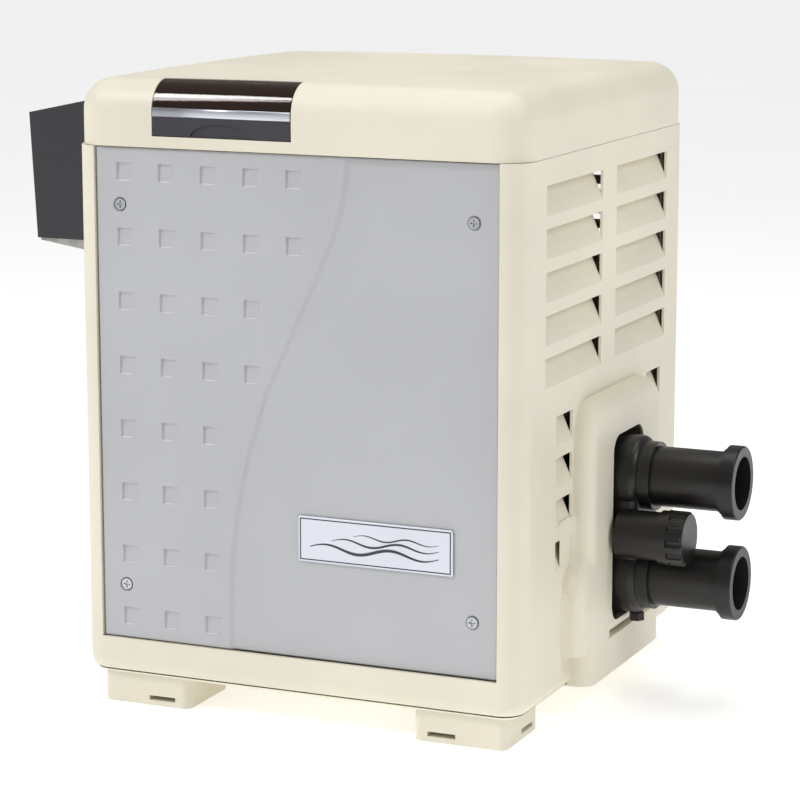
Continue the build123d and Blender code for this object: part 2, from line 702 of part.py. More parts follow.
with BuildPart() as manifold_gasket:
    with BuildSketch(across_x(SHEET_X + SHEET_T)):
        flange_outline()
        with Locations(*((PORT_Y, z) for z in PORTS)):
            Circle(PASSAGE_R, mode=Mode.SUBTRACT)
        with Locations(*BOLT_PLACES):
            Circle(3.4, mode=Mode.SUBTRACT)
    extrude(amount=GASKET_T)
save(manifold_gasket, "manifold_gasket")

with BuildPart() as manifold_body:
    with BuildSketch(across_x(FLANGE_X)):
        flange_outline()
    extrude(amount=FLANGE_T)
    # two round chambers joined by a waist
    with BuildSketch(across_x(FLANGE_X + FLANGE_T)):
        with Locations(*((PORT_Y, z) for z in PORTS)):
            Circle(45)
        with Locations((PORT_Y, (PORT_LOW_Z + PORT_HIGH_Z) / 2)):
            Rectangle(76, PORT_HIGH_Z - PORT_LOW_Z)
    extrude(amount=BODY_OUT - FLANGE_X - FLANGE_T)
    fillet(manifold_body.faces().sort_by(Axis.X)[-1].edges(), 9)
    for z in PORTS:
        rod((BODY_OUT - 12, PORT_Y, z), (1, 0, 0), STUB_R + 5, RING_OUT - BODY_OUT + 12)
    # thermal governor housing, standing out in front of the ports
    rod((295, GOVERNOR_Y, GOVERNOR_Z), (1, 0, 0), GOVERNOR_R, GOVERNOR_END - 295)
    rod((GOVERNOR_END - 8, GOVERNOR_Y, GOVERNOR_Z), (1, 0, 0), GOVERNOR_R + 2.5, 8)
    # passages
    for z in PORTS:
        rod((FLANGE_X, PORT_Y, z), (1, 0, 0), PASSAGE_R, RING_OUT - FLANGE_X, Mode.SUBTRACT)
    rod((BYPASS_X, PORT_Y, PORT_LOW_Z), (0, 0, 1), BYPASS_R, PORT_HIGH_Z - PORT_LOW_Z, Mode.SUBTRACT)
    rod((305, GOVERNOR_Y, GOVERNOR_Z), (1, 0, 0), GOVERNOR_BORE_R, GOVERNOR_END - 305, Mode.SUBTRACT)
    # drain at the foot, pressure tapping at the top, sensor tapping at the front
    rod((DRAIN_X, PORT_Y, PORT_LOW_Z), (0, 0, -1), 6, 60, Mode.SUBTRACT)
    rod((242, PORT_Y, PORT_HIGH_Z), (0, 0, 1), 5, 60, Mode.SUBTRACT)
    rod((242, PORT_Y, PORT_HIGH_Z), (0, -1, 0), 4, 60, Mode.SUBTRACT)
    for y, z in BOLT_PLACES:
        rod((FLANGE_X, y, z), (1, 0, 0), 3.4, FLANGE_T, Mode.SUBTRACT)
    # ledge in the bypass that the spring bears on
    tube((BYPASS_X, PORT_Y, SPRING_TOP), (0, 0, 1), BYPASS_R, 7, 3)
save(manifold_body, "manifold_body")

for name, z in (("inlet_port", PORT_LOW_Z), ("outlet_port", PORT_HIGH_Z)):
    with BuildPart() as port:
        rod((RING_OUT, PORT_Y, z), (1, 0, 0), STUB_R, REACH - RING_OUT)
        rod((BELL_X, PORT_Y, z), (1, 0, 0), BELL_R, REACH - BELL_X)
        fillet(port.edges().filter_by(GeomType.CIRCLE).group_by(Axis.X)[-1], 2.0)
        rod((BELL_X - 5, PORT_Y, z), (1, 0, 0), STUB_R + 3, 5)
        rod((RING_OUT, PORT_Y, z), (1, 0, 0), PASSAGE_R, REACH - RING_OUT, Mode.SUBTRACT)
        rod((REACH - SOCKET_DEEP, PORT_Y, z), (1, 0, 0), SOCKET_R, SOCKET_DEEP, Mode.SUBTRACT)
    save(port, name)

with BuildPart() as governor_cap:
    rod((GOVERNOR_END, GOVERNOR_Y, GOVERNOR_Z), (1, 0, 0), 31, 24)
    chamfer(governor_cap.edges().group_by(Axis.X)[-1], 2.5)
    with BuildSketch(across_x(GOVERNOR_END + 5)):
        with Locations((GOVERNOR_Y, GOVERNOR_Z)):
            with PolarLocations(33.0, 12):
                Circle(5.0)
    extrude(amount=19, mode=Mode.SUBTRACT)
    rod((GOVERNOR_END, GOVERNOR_Y, GOVERNOR_Z), (1, 0, 0), GOVERNOR_BORE_R, 16, Mode.SUBTRACT)
save(governor_cap, "governor_cap")

with BuildPart() as governor_piston:
    rod((318, GOVERNOR_Y, GOVERNOR_Z), (1, 0, 0), GOVERNOR_BORE_R - 0.5, 9)
    rod((327, GOVERNOR_Y, GOVERNOR_Z), (1, 0, 0), 7, 26)
    rod((318, GOVERNOR_Y, GOVERNOR_Z), (1, 0, 0), GOVERNOR_BORE_R - 5, 5, Mode.SUBTRACT)
save(governor_piston, "governor_piston")

BYPASS_Z = 176.0
SPRING_LOW = BYPASS_Z + 5.0

with BuildPart() as bypass_valve:
    rod((BYPASS_X, PORT_Y, BYPASS_Z), (0, 0, 1), BYPASS_R - 0.5, 5)
    rod((BYPASS_X, PORT_Y, BYPASS_Z + 5), (0, 0, 1), 3.5, 26)
save(bypass_valve, "bypass_valve")

with BuildPart() as bypass_spring:
    spring_wire = 1.1
    spring_turns = 7
    spring_height = SPRING_TOP - SPRING_LOW - 2 * spring_wire
    with BuildLine() as coil_line:
        spring_foot = (BYPASS_X, PORT_Y, SPRING_LOW + spring_wire)
        Helix(spring_height / spring_turns, spring_height, 9.5, center=spring_foot)
    with BuildSketch(Plane(coil_line.line @ 0, z_dir=coil_line.line % 0)):
        Circle(spring_wire)
    sweep(path=coil_line.line)
save(bypass_spring, "bypass_spring")

with BuildPart() as drain_plug:
    rod((DRAIN_X, PORT_Y, 97), (0, 0, 1), 6, 15)
    with BuildSketch(Plane.XY.offset(88)):
        with Locations((DRAIN_X, PORT_Y)):
            RegularPolygon(9, 6)
    extrude(amount=9)
save(drain_plug, "drain_plug")

with BuildPart() as pressure_switch:
    rod((242, PORT_Y, 290), (0, 0, 1), 5, 18)
    rod((242, PORT_Y, 303.6), (0, 0, 1), 8, 6)
    rod((242, PORT_Y, 309.6), (0, 0, 1), 17, 16)
    rod((242, PORT_Y, 325.6), (0, 0, 1), 11, 12)
save(pressure_switch, "pressure_switch")

with BuildPart() as water_sensor:
    rod((242, PORT_Y - 20, PORT_HIGH_Z), (0, -1, 0), 4, 26)
    rod((242, PORT_Y - 45.6, PORT_HIGH_Z), (0, -1, 0), 7, 8)
save(water_sensor, "water_sensor")


# ---------------------------------------------------------------- heat exchanger and burner
DRUM_X = -20.0
DRUM_Y = 30.0
DRUM_R = 142.0
DRUM_RIM_R = DRUM_R + 9.0
DRUM_T = 2.0
DRUM_LOW = 84.0
DRUM_HIGH = 400.0
COIL_R = 105.0
TUBE_R = 9.0
COIL_TURNS = 8
COIL_PITCH = 27.0
COIL_LOW = 118.0
FLUE_LOW_Z = 345.0


def drum_ring(z, outer, inner, height):
    """A ring round the axis of the drum."""
    tube((DRUM_X, DRUM_Y, z), (0, 0, 1), outer, inner, height)


with BuildPart() as combustion_drum:
    # four legs under the floor of the drum
    with BuildSketch(Plane.XY.offset(BASE_FLOOR)):
        with Locations((DRUM_X, DRUM_Y)):
            with PolarLocations(DRUM_R - 22, 4, start_angle=45):
                Rectangle(24, 24)
    extrude(amount=DRUM_LOW - BASE_FLOOR)
    drum_ring(DRUM_LOW, DRUM_R, DRUM_R - DRUM_T, DRUM_HIGH - DRUM_LOW)
    rod((DRUM_X, DRUM_Y, DRUM_LOW), (0, 0, 1), DRUM_R, DRUM_T)
    drum_ring(DRUM_HIGH - 3, DRUM_RIM_R, DRUM_R - DRUM_T, 3)
    rod((DRUM_X, FLUE_Y, FLUE_LOW_Z), (-1, 0, 0), FLUE_R + 0.5, 200, Mode.SUBTRACT)
    for z in PORTS:
        rod((DRUM_X, PORT_Y, z), (1, 0, 0), 17, 200, Mode.SUBTRACT)
save(combustion_drum, "combustion_drum")

with BuildPart() as copper_coil:
    for turn in range(COIL_TURNS):
        with Locations((DRUM_X, DRUM_Y, COIL_LOW + turn * COIL_PITCH)):
            Torus(COIL_R, TUBE_R)
    # header tubes from the coil to the tube sheet
    for z in PORTS:
        rod((DRUM_X + COIL_R - 12, PORT_Y, z), (1, 0, 0), 16, SHEET_X + SHEET_T - DRUM_X - COIL_R + 12)
    # spacers that carry the turns
    for angle in (60, 150, 240, 330):
        x = DRUM_X + COIL_R * cos(angle * pi / 180)
        y = DRUM_Y + COIL_R * sin(angle * pi / 180)
        rod((x, y, DRUM_LOW + DRUM_T), (0, 0, 1), 4, COIL_LOW + COIL_TURNS * COIL_PITCH - DRUM_LOW - 20)
save(copper_coil, "copper_coil")

with BuildPart() as chamber_plate:
    rod((DRUM_X, DRUM_Y, DRUM_HIGH), (0, 0, 1), DRUM_RIM_R, 5)
    rod((DRUM_X, DRUM_Y, DRUM_HIGH), (0, 0, 1), 46, 5, Mode.SUBTRACT)
    rod((DRUM_X + 80, DRUM_Y - 60, DRUM_HIGH), (0, 0, 1), 6, 5, Mode.SUBTRACT)
    with BuildSketch(Plane.XY.offset(DRUM_HIGH)):
        with Locations((DRUM_X, DRUM_Y)):
            with PolarLocations(DRUM_R + 4, 8):
                Circle(3)
    extrude(amount=5, mode=Mode.SUBTRACT)
save(chamber_plate, "chamber_plate")

# the same M6 bolts hold the manifold to the tube sheet and the plate to the drum
with BuildPart() as hex_bolts:
    for y, z in BOLT_PLACES:
        with BuildSketch(across_x(FLANGE_X + FLANGE_T)):
            with Locations((y, z)):
                RegularPolygon(6.0, 6)
        extrude(amount=5)
        rod((SHEET_X, y, z), (1, 0, 0), 3.0, FLANGE_X + FLANGE_T - SHEET_X)
    for index in range(8):
        x = DRUM_X + (DRUM_R + 4) * cos(index * pi / 4)
        y = DRUM_Y + (DRUM_R + 4) * sin(index * pi / 4)
        rod((x, y, DRUM_HIGH), (0, 0, 1), 3, 5)
        with BuildSketch(Plane.XY.offset(DRUM_HIGH + 5)):
            with Locations((x, y)):
                RegularPolygon(6.0, 6)
        extrude(amount=5)
save(hex_bolts, "hex_bolts")

with BuildPart() as burner:
    drum_ring(DRUM_HIGH - 170, 44, 42, 175)
    rod((DRUM_X, DRUM_Y, DRUM_HIGH - 172), (0, 0, 1), 44, 2)
    drum_ring(DRUM_HIGH + 5, 60, 42, 4)
save(burner, "burner")

with BuildPart() as igniter:
    rod((DRUM_X + 80, DRUM_Y - 60, DRUM_HIGH - 60), (0, 0, 1), 4, 65)
    rod((DRUM_X + 80, DRUM_Y - 60, DRUM_HIGH + 5), (0, 0, 1), 10, 8)
    rod((DRUM_X + 80, DRUM_Y - 60, DRUM_HIGH + 13), (0, 0, 1), 5, 14)
save(igniter, "igniter")

with BuildPart() as flue_duct:
    bent_pipe(
        [
            (DRUM_X - DRUM_R + 12, FLUE_Y, FLUE_LOW_Z),
            (-214, FLUE_Y, FLUE_LOW_Z),
            (-214, FLUE_Y, FLUE_Z),
            (-HALF - 6, FLUE_Y, FLUE_Z),
        ],
        FLUE_R,
        FLUE_R - 1.5,
        43,
    )
save(flue_duct, "flue_duct")


# ---------------------------------------------------------------- blower
BLOWER_LOW = DRUM_HIGH + 22.0
BLOWER_H = 66.0
BLOWER_R = 92.0
BLOWER_SKIN = 3.0
BLOWER_HIGH = BLOWER_LOW + BLOWER_H
BLOWER_MOUTH = 26.0  # how far the inlet stands out of the scroll
SHAFT_R = 4.0

with BuildPart() as blower_housing:
    rod((DRUM_X, DRUM_Y, BLOWER_LOW), (0, 0, 1), BLOWER_R, BLOWER_H)
    fillet(blower_housing.edges().filter_by(GeomType.CIRCLE), 8)
    block(
        (DRUM_X - 34, DRUM_Y - BLOWER_R - BLOWER_MOUTH, BLOWER_LOW + 8),
        (DRUM_X + 34, DRUM_Y - 30, BLOWER_HIGH - 8),
    )
    rod((DRUM_X, DRUM_Y, DRUM_HIGH + 9), (0, 0, 1), 50, BLOWER_LOW - DRUM_HIGH - 9)
    rod(
        (DRUM_X, DRUM_Y, BLOWER_LOW + BLOWER_SKIN),
        (0, 0, 1),
        BLOWER_R - BLOWER_SKIN,
        BLOWER_H - 2 * BLOWER_SKIN,
        Mode.SUBTRACT,
    )
    block(
        (DRUM_X - 30, DRUM_Y - BLOWER_R - BLOWER_MOUTH, BLOWER_LOW + 12),
        (DRUM_X + 30, DRUM_Y - 30, BLOWER_HIGH - 12),
        Mode.SUBTRACT,
    )
    rod((DRUM_X, DRUM_Y, DRUM_HIGH + 9), (0, 0, 1), 42, 20, Mode.SUBTRACT)
    rod((DRUM_X, DRUM_Y, BLOWER_HIGH - 5), (0, 0, 1), 9, 10, Mode.SUBTRACT)
save(blower_housing, "blower_housing")

with BuildPart() as blower_impeller:
    rod((DRUM_X, DRUM_Y, BLOWER_LOW + 8), (0, 0, 1), 76, 2)
    rod((DRUM_X, DRUM_Y, BLOWER_LOW + 8), (0, 0, 1), 12, 46)
    with BuildSketch(Plane.XY.offset(BLOWER_LOW + 10)):
        with Locations((DRUM_X, DRUM_Y)):
            with PolarLocations(62, 18):
                Rectangle(26, 1.6, rotation=28)
    extrude(amount=44)
    tube((DRUM_X, DRUM_Y, BLOWER_LOW + 53), (0, 0, 1), 76, 50, 1.5)
    rod((DRUM_X, DRUM_Y, BLOWER_LOW + 8), (0, 0, 1), SHAFT_R, 50, Mode.SUBTRACT)
save(blower_impeller, "blower_impeller")

with BuildPart() as motor_shaft:
    rod((DRUM_X, DRUM_Y, BLOWER_LOW + 8), (0, 0, 1), SHAFT_R, 110)
save(motor_shaft, "motor_shaft")

with BuildPart() as blower_motor:
    rod((DRUM_X, DRUM_Y, BLOWER_HIGH), (0, 0, 1), 46, 64)
    fillet(blower_motor.edges().group_by(Axis.Z)[-1], 7)
    with BuildSketch(Plane.XY.offset(BLOWER_HIGH + 14)):
        with Locations((DRUM_X, DRUM_Y)):
            with PolarLocations(46, 20):
                Rectangle(8, 4)
    extrude(amount=36, mode=Mode.SUBTRACT)
    rod((DRUM_X, DRUM_Y, BLOWER_HIGH), (0, 0, 1), SHAFT_R + 0.06, 55, Mode.SUBTRACT)
save(blower_motor, "blower_motor")

MIXER_Y = DRUM_Y - BLOWER_R - BLOWER_MOUTH
MIXER_Z = (BLOWER_LOW + BLOWER_HIGH) / 2

with BuildPart() as air_gas_mixer:
    rod((DRUM_X, MIXER_Y, MIXER_Z), (0, -1, 0), 30, 44)
    rod((DRUM_X, MIXER_Y - 44, MIXER_Z), (0, -1, 0), 36, 8)
    rod((DRUM_X, MIXER_Y, MIXER_Z), (0, -1, 0), 19, 52, Mode.SUBTRACT)
    rod((DRUM_X - 24, MIXER_Y - 22, MIXER_Z), (-1, 0, 0), 13, 14)
    rod((DRUM_X, MIXER_Y - 22, MIXER_Z), (-1, 0, 0), 8, 40, Mode.SUBTRACT)
save(air_gas_mixer, "air_gas_mixer")


# ---------------------------------------------------------------- gas train
VALVE_X = -168.0
VALVE_HALF = 34.0
VALVE_FRONT = -216.0
VALVE_BACK = -154.0
GAS_THREAD_R = 13.0
GAS_THREAD = 18.0
GAS_PIPE_R = 12.5
GAS_PIPE_BORE = 10.0
GAS_STUB = 20.0

with BuildPart() as gas_valve:
    block((VALVE_X - VALVE_HALF, VALVE_FRONT, 172), (VALVE_X + VALVE_HALF, VALVE_BACK, 258))
    fillet(gas_valve.edges().filter_by(Axis.Y), 7)
    rod((VALVE_X, GAS_Y, 258), (0, 0, 1), 18, 10)
    rod((VALVE_X - VALVE_HALF, GAS_Y, GAS_Z), (-1, 0, 0), 18, 10)
    rod((VALVE_X - VALVE_HALF - 10, GAS_Y, GAS_Z), (1, 0, 0), GAS_PIPE_BORE, 40, Mode.SUBTRACT)
    rod((VALVE_X, GAS_Y, 268), (0, 0, -1), GAS_PIPE_BORE, 40, Mode.SUBTRACT)
    rod((VALVE_X, VALVE_FRONT, GAS_Z), (0, 1, 0), 5.1, 20, Mode.SUBTRACT)
save(gas_valve, "gas_valve")

with BuildPart() as gas_valve_knob:
    rod((VALVE_X, VALVE_FRONT - 0.5, GAS_Z), (0, -1, 0), 17, 12)
    chamfer(gas_valve_knob.edges().group_by(Axis.Y)[0], 1.5)
    with BuildSketch(Plane((VALVE_X, VALVE_FRONT - 0.5, GAS_Z), z_dir=(0, -1, 0))):
        with PolarLocations(18.5, 18):
            Circle(2.2)
    extrude(amount=12, mode=Mode.SUBTRACT)
    block((VALVE_X - 3, VALVE_FRONT - 18, GAS_Z - 14), (VALVE_X + 3, VALVE_FRONT - 12, GAS_Z + 14))
    rod((VALVE_X, VALVE_FRONT - 2, GAS_Z), (0, 1, 0), 5.04, 18)
save(gas_valve_knob, "gas_valve_knob")

with BuildPart() as gas_inlet_pipe:
    stub_end = -HALF - GAS_STUB
    thread_end = stub_end + GAS_THREAD
    pipe_end = VALVE_X - VALVE_HALF - 10
    tube((stub_end, GAS_Y, GAS_Z), (1, 0, 0), GAS_THREAD_R, GAS_PIPE_BORE, GAS_THREAD)
    tube((thread_end, GAS_Y, GAS_Z), (1, 0, 0), GAS_PIPE_R, GAS_PIPE_BORE, pipe_end - thread_end)
save(gas_inlet_pipe, "gas_inlet_pipe")

with BuildPart() as gas_line:
    bent_pipe(
        [
            (VALVE_X, GAS_Y, 268),
            (VALVE_X, GAS_Y, MIXER_Z),
            (VALVE_X, MIXER_Y - 22, MIXER_Z),
            (DRUM_X - 38, MIXER_Y - 22, MIXER_Z),
        ],
        11,
        8,
        24,
    )
save(gas_line, "gas_line")

# ---------------------------------------------------------------- electrics
BRACKET_Y = -188.0
BRACKET_T = 2.0

with BuildPart() as component_bracket:
    block((60, BRACKET_Y, BASE_FLOOR), (235, BRACKET_Y + BRACKET_T, 600))
    block((60, BRACKET_Y, BASE_FLOOR), (235, BRACKET_Y + 25, BASE_FLOOR + 2))
    block((80, BRACKET_Y, 120), (190, BRACKET_Y + BRACKET_T, 320), Mode.SUBTRACT)
save(component_bracket, "component_bracket")

with BuildPart() as transformer:
    block((78, BRACKET_Y - 44, 350), (134, BRACKET_Y, 398))
    fillet(transformer.edges().filter_by(Axis.X), 3)
    block((70, BRACKET_Y - 2, 355), (142, BRACKET_Y, 393))
    block((86, BRACKET_Y - 48, 340), (126, BRACKET_Y - 4, 408))
save(transformer, "transformer")

with BuildPart() as ignition_module:
    block((150, BRACKET_Y - 34, 345), (228, BRACKET_Y, 455))
    fillet(ignition_module.edges().filter_by(Axis.Z), 4)
    block((162, BRACKET_Y - 40, 438), (216, BRACKET_Y - 34, 448))
save(ignition_module, "ignition_module")

with BuildPart() as fuse_board:
    block((76, BRACKET_Y - 8, 490), (226, BRACKET_Y - 6, 590))
    for x in (84, 218):
        for z in (498, 582):
            rod((x, BRACKET_Y - 6, z), (0, 1, 0), 3, 6)
    for index in range(4):
        block((96 + index * 28, BRACKET_Y - 22, 505), (118 + index * 28, BRACKET_Y - 8, 528))
    for index in range(3):
        rod((104 + index * 34, BRACKET_Y - 8, 560), (0, -1, 0), 7, 20)
save(fuse_board, "fuse_board")

with BuildPart() as junction_box:
    block((-256, -214, 92), (-216, -176, 152))
    block((-253, -211, 95), (-219, -179, 152), Mode.SUBTRACT)
    rod((-264, CONDUIT_Y, CONDUIT_Z), (1, 0, 0), 12.5, 12, Mode.SUBTRACT)
    block((-256, -214, 152), (-216, -176, 154))
save(junction_box, "junction_box")

with BuildPart() as wall_bushings:
    # conduit bushing for the electrics
    tube((-HALF - 14, CONDUIT_Y, CONDUIT_Z), (1, 0, 0), 17, 11, 14)
    tube((-HALF, CONDUIT_Y, CONDUIT_Z), (1, 0, 0), 14, 11, 11)
    # grommet round the gas pipe
    tube((-HALF, GAS_Y, GAS_Z), (1, 0, 0), 20, GAS_PIPE_R, PANEL_T)
save(wall_bushings, "wall_bushings")
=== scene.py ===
"""Looks for the pool and spa heater: materials, fine pieces, light and camera."""

import json
import math

import bpy
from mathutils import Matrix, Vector


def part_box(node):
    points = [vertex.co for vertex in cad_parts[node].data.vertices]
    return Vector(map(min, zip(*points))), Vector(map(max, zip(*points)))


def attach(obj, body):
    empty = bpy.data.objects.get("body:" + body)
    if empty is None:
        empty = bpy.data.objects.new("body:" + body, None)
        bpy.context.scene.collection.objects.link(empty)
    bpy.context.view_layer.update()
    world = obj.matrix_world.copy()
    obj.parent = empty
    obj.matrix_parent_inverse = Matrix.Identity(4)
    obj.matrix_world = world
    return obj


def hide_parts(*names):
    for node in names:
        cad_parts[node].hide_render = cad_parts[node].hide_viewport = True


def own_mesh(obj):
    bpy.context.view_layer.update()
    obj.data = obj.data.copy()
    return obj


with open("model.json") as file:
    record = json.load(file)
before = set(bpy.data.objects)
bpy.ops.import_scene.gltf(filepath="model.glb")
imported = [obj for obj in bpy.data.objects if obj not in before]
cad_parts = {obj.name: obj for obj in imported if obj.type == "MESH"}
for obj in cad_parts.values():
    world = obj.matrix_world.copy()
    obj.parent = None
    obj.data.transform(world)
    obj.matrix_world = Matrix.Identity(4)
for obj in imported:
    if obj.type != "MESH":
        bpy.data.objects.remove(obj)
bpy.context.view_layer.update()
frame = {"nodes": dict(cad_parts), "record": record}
NODES = frame["nodes"]

MM = 0.001


# ---------------------------------------------------------------- node helpers
class Shader:
    """A material under construction: a Principled shader and what feeds it."""

    def __init__(self, name):
        self.material = bpy.data.materials.new(name)
        self.material.use_nodes = True
        self.tree = self.material.node_tree
        self.out = self.tree.nodes["Material Output"]
        self.skin = self.tree.nodes["Principled BSDF"]
        place = self.tree.nodes.new("ShaderNodeTexCoord")
        self.place = place.outputs["Object"]

    def node(self, kind, **values):
        made = self.tree.nodes.new(kind)
        for key, value in values.items():
            setattr(made, key, value)
        return made

    def link(self, a, b):
        self.tree.links.new(a, b)

    def noise(self, scale, detail=4.0, rough=0.55, stretch=None):
        made = self.node("ShaderNodeTexNoise")
        made.inputs["Scale"].default_value = scale
        made.inputs["Detail"].default_value = detail
        made.inputs["Roughness"].default_value = rough
        self.link(self.stretched(stretch), made.inputs["Vector"])
        return made.outputs["Fac"]

    def cells(self, scale, feature="F1", stretch=None):
        made = self.node("ShaderNodeTexVoronoi", feature=feature)
        made.inputs["Scale"].default_value = scale
        self.link(self.stretched(stretch), made.inputs["Vector"])
        return made

    def stretched(self, stretch):
        if stretch is None:
            return self.place
        mapping = self.node("ShaderNodeMapping")
        mapping.inputs["Scale"].default_value = stretch
        self.link(self.place, mapping.inputs["Vector"])
        return mapping.outputs["Vector"]

    def ramp(self, source, stops):
        made = self.node("ShaderNodeValToRGB")
        bar = made.color_ramp
        while len(bar.elements) < len(stops):
            bar.elements.new(0.5)
        for element, (place, colour) in zip(bar.elements, stops):
            element.position = place
            element.color = (*colour, 1.0)
        self.link(source, made.inputs["Fac"])
        return made.outputs["Color"]

    def spread(self, source, low, high, start=0.3, end=0.7):
        made = self.node("ShaderNodeMapRange")
        made.inputs["From Min"].default_value = start
        made.inputs["From Max"].default_value = end
        made.inputs["To Min"].default_value = low
        made.inputs["To Max"].default_value = high
        self.link(source, made.inputs["Value"])
        return made.outputs["Result"]

    def mixed(self, a, b, factor, mode="MIX"):
        made = self.node("ShaderNodeMix", data_type="RGBA", blend_type=mode)
        for socket, value in ((6, a), (7, b)):
            if isinstance(value, tuple):
                made.inputs[socket].default_value = (*value, 1.0)
            else:
                self.link(value, made.inputs[socket])
        if isinstance(factor, float):
            made.inputs[0].default_value = factor
        else:
            self.link(factor, made.inputs[0])
        return made.outputs[2]

    def bump(self, source, strength, distance, before=None):
        made = self.node("ShaderNodeBump")
        made.inputs["Strength"].default_value = strength
        made.inputs["Distance"].default_value = distance
        self.link(source, made.inputs["Height"])
        if before is not None:
            self.link(before, made.inputs["Normal"])
        return made.outputs["Normal"]

    def feed(self, **sockets):
        """Sets or links inputs of the Principled shader; words use _ for a space."""
        for key, value in sockets.items():
            socket = self.skin.inputs[key.replace("_", " ")]
            if isinstance(value, tuple):
                socket.default_value = (*value, 1.0)
            elif isinstance(value, (int, float)):
                socket.default_value = value
            else:
                self.link(value, socket)
        return self


def srgb(red, green, blue):
    """A colour given in 0-255 display values, as linear light."""
    return tuple((c / 255) ** 2.2 for c in (red, green, blue))


def shade(colour, factor):
    return tuple(min(1.0, c * factor) for c in colour)


# ---------------------------------------------------------------- materials
def moulded(name, colour, grain=900.0, depth=0.00012, rough=(0.42, 0.56), dirt=0.93):
    """Moulded plastic with a fine texture, slow colour drift and a little dust."""
    s = Shader(name)
    drift = s.noise(5.0, 3.0)
    tone = s.ramp(drift, [(0.35, shade(colour, dirt)), (0.65, colour)])
    speck = s.spread(s.noise(300.0, 2.0), 0.0, 0.12, 0.55, 0.8)
    tone = s.mixed(tone, shade(colour, 0.8), speck)
    fine = s.bump(s.noise(grain, 2.0), 0.25, depth)
    broad = s.bump(s.noise(9.0, 2.0), 0.12, 0.0012, fine)
    s.feed(Base_Color=tone, Roughness=s.spread(drift, *rough), Normal=broad, Specular_IOR_Level=0.4)
    return s.material


def coated(name, colour, rough=(0.32, 0.45), grain=1400.0):
    """Powder coat on sheet metal: faint orange peel and colour drift."""
    s = Shader(name)
    drift = s.noise(4.0, 3.0)
    tone = s.ramp(drift, [(0.3, shade(colour, 0.95)), (0.7, shade(colour, 1.03))])
    peel = s.bump(s.noise(grain, 1.0), 0.18, 0.0001)
    s.feed(
        Base_Color=tone,
        Roughness=s.spread(drift, *rough),
        Normal=peel,
        Coat_Weight=0.15,
        Coat_Roughness=0.25,
    )
    return s.material


def metal(name, colour, rough=(0.25, 0.4), stretch=(1.0, 1.0, 40.0), scale=60.0, dull=0.8):
    """Bare metal with drawn or turned marks along one direction."""
    s = Shader(name)
    marks = s.noise(scale, 5.0, 0.6, stretch)
    drift = s.noise(14.0, 3.0)
    tone = s.ramp(drift, [(0.3, shade(colour, dull)), (0.7, colour)])
    s.feed(
        Base_Color=tone,
        Metallic=1.0,
        Roughness=s.spread(marks, *rough),
        Normal=s.bump(marks, 0.15, 0.0002),
    )
    return s.material


def galvanised(name, colour):
    """Zinc-coated sheet with its crystal spangle."""
    s = Shader(name)
    spangle = s.cells(90.0)
    tone = s.ramp(spangle.outputs["Color"], [(0.2, shade(colour, 0.78)), (0.8, shade(colour, 1.12))])
    s.feed(Base_Color=tone, Metallic=0.9, Roughness=s.spread(s.noise(30.0), 0.36, 0.52),
           Normal=s.bump(s.noise(200.0), 0.1, 0.0002))
    return s.material


def cast(name, colour):
    """Sand-cast aluminium: grainy and dull."""
    s = Shader(name)
    grit = s.noise(420.0, 4.0)
    tone = s.ramp(s.noise(20.0), [(0.3, shade(colour, 0.8)), (0.7, colour)])
    s.feed(
        Base_Color=tone,
        Metallic=0.85,
        Roughness=s.spread(grit, 0.5, 0.68),
        Normal=s.bump(grit, 0.45, 0.0004),
    )
    return s.material


def glassy(name, colour, clear, rough=0.06):
    """Tinted clear plastic."""
    s = Shader(name)
    tone = s.ramp(s.noise(6.0), [(0.3, shade(colour, 0.85)), (0.7, colour)])
    s.feed(Base_Color=tone, Roughness=rough, Transmission_Weight=clear, IOR=1.49,
           Normal=s.bump(s.noise(700.0, 1.0), 0.03, 0.0001))
    return s.material


def circuit(name):
    """Green solder mask with fine copper tracks under it."""
    s = Shader(name)
    tracks = s.cells(150.0, "DISTANCE_TO_EDGE")
    line = s.spread(tracks.outputs["Distance"], 1.0, 0.0, 0.02, 0.06)
    tone = s.mixed(srgb(18, 74, 40), srgb(58, 128, 70), line)
    s.feed(Base_Color=tone, Roughness=s.spread(s.noise(60.0), 0.25, 0.4), Normal=s.bump(line, 0.3, 0.0001))
    return s.material


def lit_display(name):
    """A dark display with a faint amber matrix."""
    s = Shader(name)
    dots = s.cells(900.0)
    spot = s.spread(dots.outputs["Distance"], 1.0, 0.0, 0.1, 0.5)
    tone = s.mixed(srgb(30, 18, 10), srgb(150, 92, 40), spot)
    s.feed(Base_Color=tone, Roughness=0.18, Emission_Color=tone, Emission_Strength=0.6)
    return s.material


ALMOND = srgb(232, 226, 207)
DOOR_GREY = srgb(183, 184, 187)

